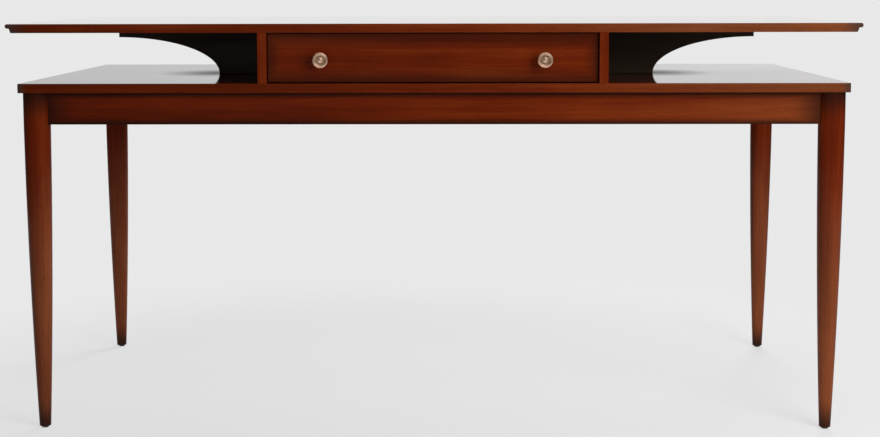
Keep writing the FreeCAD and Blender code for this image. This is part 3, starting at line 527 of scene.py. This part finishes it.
def knob_dish(node_name):
    """Tarnish that polishing cloths leave in the dish of a knob, around its boss."""
    low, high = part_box(node_name)
    middle = (low + high) / 2
    radius = (high.x - low.x) / 2

    def stain(shader, point):
        offset = shader.vector("MULTIPLY", shader.vector("SUBTRACT", point, tuple(middle)), (1, 0, 1))
        distance = shader.vector("LENGTH", offset, result="Value")
        inner, outer = (
            shader.between(distance, *(share * radius for share in edge), smooth=True)
            for edge in (DISH_INNER, DISH_OUTER)
        )
        return shader.math("MULTIPLY", shader.math("MULTIPLY", inner, outer), DISH_TARNISH)

    return stain


def glide_material():
    """Dark moulded plastic, scuffed grey where it rubs the floor."""
    material = bpy.data.materials.new("glide")
    shader = Shader(material)
    point = shader.place()
    scuffs = shader.spots(point, *GLIDE_SCUFFS)
    low = shader.between(shader.split(point)[2], GLIDE_SCUFF_HEIGHT, 0.0)
    colour = shader.blend(shader.math("MULTIPLY", scuffs, low), GLIDE_COLOUR, GLIDE_SCUFF_COLOUR)
    gloss = shader.between(scuffs, 0.0, 1.0, *GLIDE_ROUGHNESS)
    bump = shader.add("Bump", {**GLIDE_BUMP, "Height": scuffs})
    surface = shader.add(
        "BsdfPrincipled",
        {"Base Color": colour, "Roughness": gloss, "Normal": bump.outputs[0]},
    )
    shader.finish(surface)
    return material


def dress(node_name, material):
    """Gives a CAD node its material."""
    slots = NODES[node_name].data.materials
    slots.clear()
    slots.append(material)


def dress_wood():
    """Every board gets a wood of its own, so that no two show the same figure."""
    names = sorted(NODES)
    for axis, boards in GRAIN_ALONG.items():
        for name in boards:
            kind = SPECIAL_KINDS.get(name, SLOT_OF[name])
            dress(name, wood(name, axis, kind, names.index(name)))


def dress_fittings():
    """Brass for the knobs, each with its tarnished dish, steel for the screws and plastic for the glides."""
    steel = metal("screw_steel", METALS["screw_steel"])
    glide = glide_material()
    for name, slot in SLOT_OF.items():
        if slot == "brass":
            dress(name, metal(f"brass_{name}", METALS["brass"], knob_dish(name)))
        elif slot == "screw_steel":
            dress(name, steel)
        elif slot == "glide":
            dress(name, glide)


def make_world():
    """A pale backdrop and an even sky, and for polish and metal the lit parts of a dark room."""
    world = bpy.data.worlds.new("studio")
    bpy.context.scene.world = world
    shader = Shader(world)
    ray = shader.add("LightPath").outputs
    way = shader.add("TexCoord").outputs["Generated"]
    parts = shader.split(way)
    toward_box = shader.vector("DOT_PRODUCT", way, tuple(SOFTBOX_WAY), result="Value")
    rear = shader.between(parts[1], *BACKDROP_EDGE, ROOM_SHEEN, BACKDROP_SHEEN, smooth=True)
    softbox = shader.between(toward_box, *SOFTBOX_EDGE, ROOM_SHEEN, SOFTBOX_SHEEN, smooth=True)
    ceiling = shader.between(parts[2], *CEILING_EDGE, ROOM_SHEEN, CEILING_SHEEN, smooth=True)
    sheen = shader.either(rear, softbox, ceiling)
    mirrored = shader.either(ray["Is Glossy Ray"], ray["Is Transmission Ray"])
    light = shader.math("MULTIPLY_ADD", mirrored, shader.math("SUBTRACT", sheen, SKY), SKY)
    level = shader.math("MULTIPLY_ADD", ray["Is Camera Ray"], shader.math("SUBTRACT", BACKDROP, light), light)
    shader.finish(shader.add("Background", {"Color": WHITE, "Strength": level}), "World")


def make_floor():
    """A round pale floor that keeps the desk's shadow and fades into the backdrop."""
    bpy.ops.mesh.primitive_circle_add(vertices=FLOOR_SIDES, radius=FLOOR_RADIUS, fill_type="NGON")
    floor = bpy.context.object
    floor.name = "floor"
    material = bpy.data.materials.new("floor")
    shader = Shader(material)
    point = shader.place()
    specks = shader.math("MULTIPLY", shader.spots(point, *FLOOR_SPECKS), FLOOR_SPECK_SHARE)
    paper = shader.add("BsdfDiffuse", {"Color": shader.blend(specks, FLOOR_COLOUR, FLOOR_SPECK_COLOUR)})
    distance = shader.vector("LENGTH", point, result="Value")
    level = shader.between(distance, *FLOOR_FADE, FLOOR_GLOW, BACKDROP, smooth=True)
    glow = shader.add("Emission", {"Color": WHITE, "Strength": level})
    share = shader.between(distance, *FLOOR_FADE, FLOOR_GLOW_SHARE, 1.0, smooth=True)
    ray = shader.add("LightPath").outputs
    seen = shader.either(ray["Is Camera Ray"], ray["Is Glossy Ray"], ray["Is Transmission Ray"])
    share = shader.math("MULTIPLY", share, seen)
    shader.finish(shader.add("MixShader", {0: share, 1: paper.outputs[0], 2: glow.outputs[0]}))
    floor.data.materials.append(material)


def make_lamp(name, place, target, size, power):
    """A soft round lamp. Polish and metal see the world's lit parts instead of it."""
    lamp = bpy.data.lights.new(name, "AREA")
    lamp.shape = "DISK"
    lamp.size = size
    lamp.energy = power
    holder = bpy.data.objects.new(name, lamp)
    bpy.context.scene.collection.objects.link(holder)
    holder.location = place
    holder.rotation_euler = (Vector(target) - Vector(place)).to_track_quat("-Z", "Y").to_euler()
    holder.visible_camera = False
    holder.visible_glossy = False


def make_lights():
    """A key lamp at the right in front, a weak one at the left in front, and a fill at the right behind."""
    for name, settings in LAMPS.items():
        make_lamp(name, *settings)


def make_camera():
    """A camera at the photograph's viewing angle."""
    lens = bpy.data.cameras.new("camera")
    lens.sensor_width = CAMERA_SENSOR_MM
    lens.lens = CAMERA_LENS_MM
    lens.shift_y = CAMERA_SHIFT
    camera = bpy.data.objects.new("camera", lens)
    bpy.context.scene.collection.objects.link(camera)
    camera.location = CAMERA_PLACE
    camera.rotation_euler = (math.pi / 2 - CAMERA_TILT, CAMERA_ROLL, CAMERA_TURN)
    bpy.context.scene.camera = camera


dress_wood()
dress_fittings()
make_world()
make_floor()
make_lights()
make_camera()
bpy.context.scene.view_settings.view_transform = "Standard"
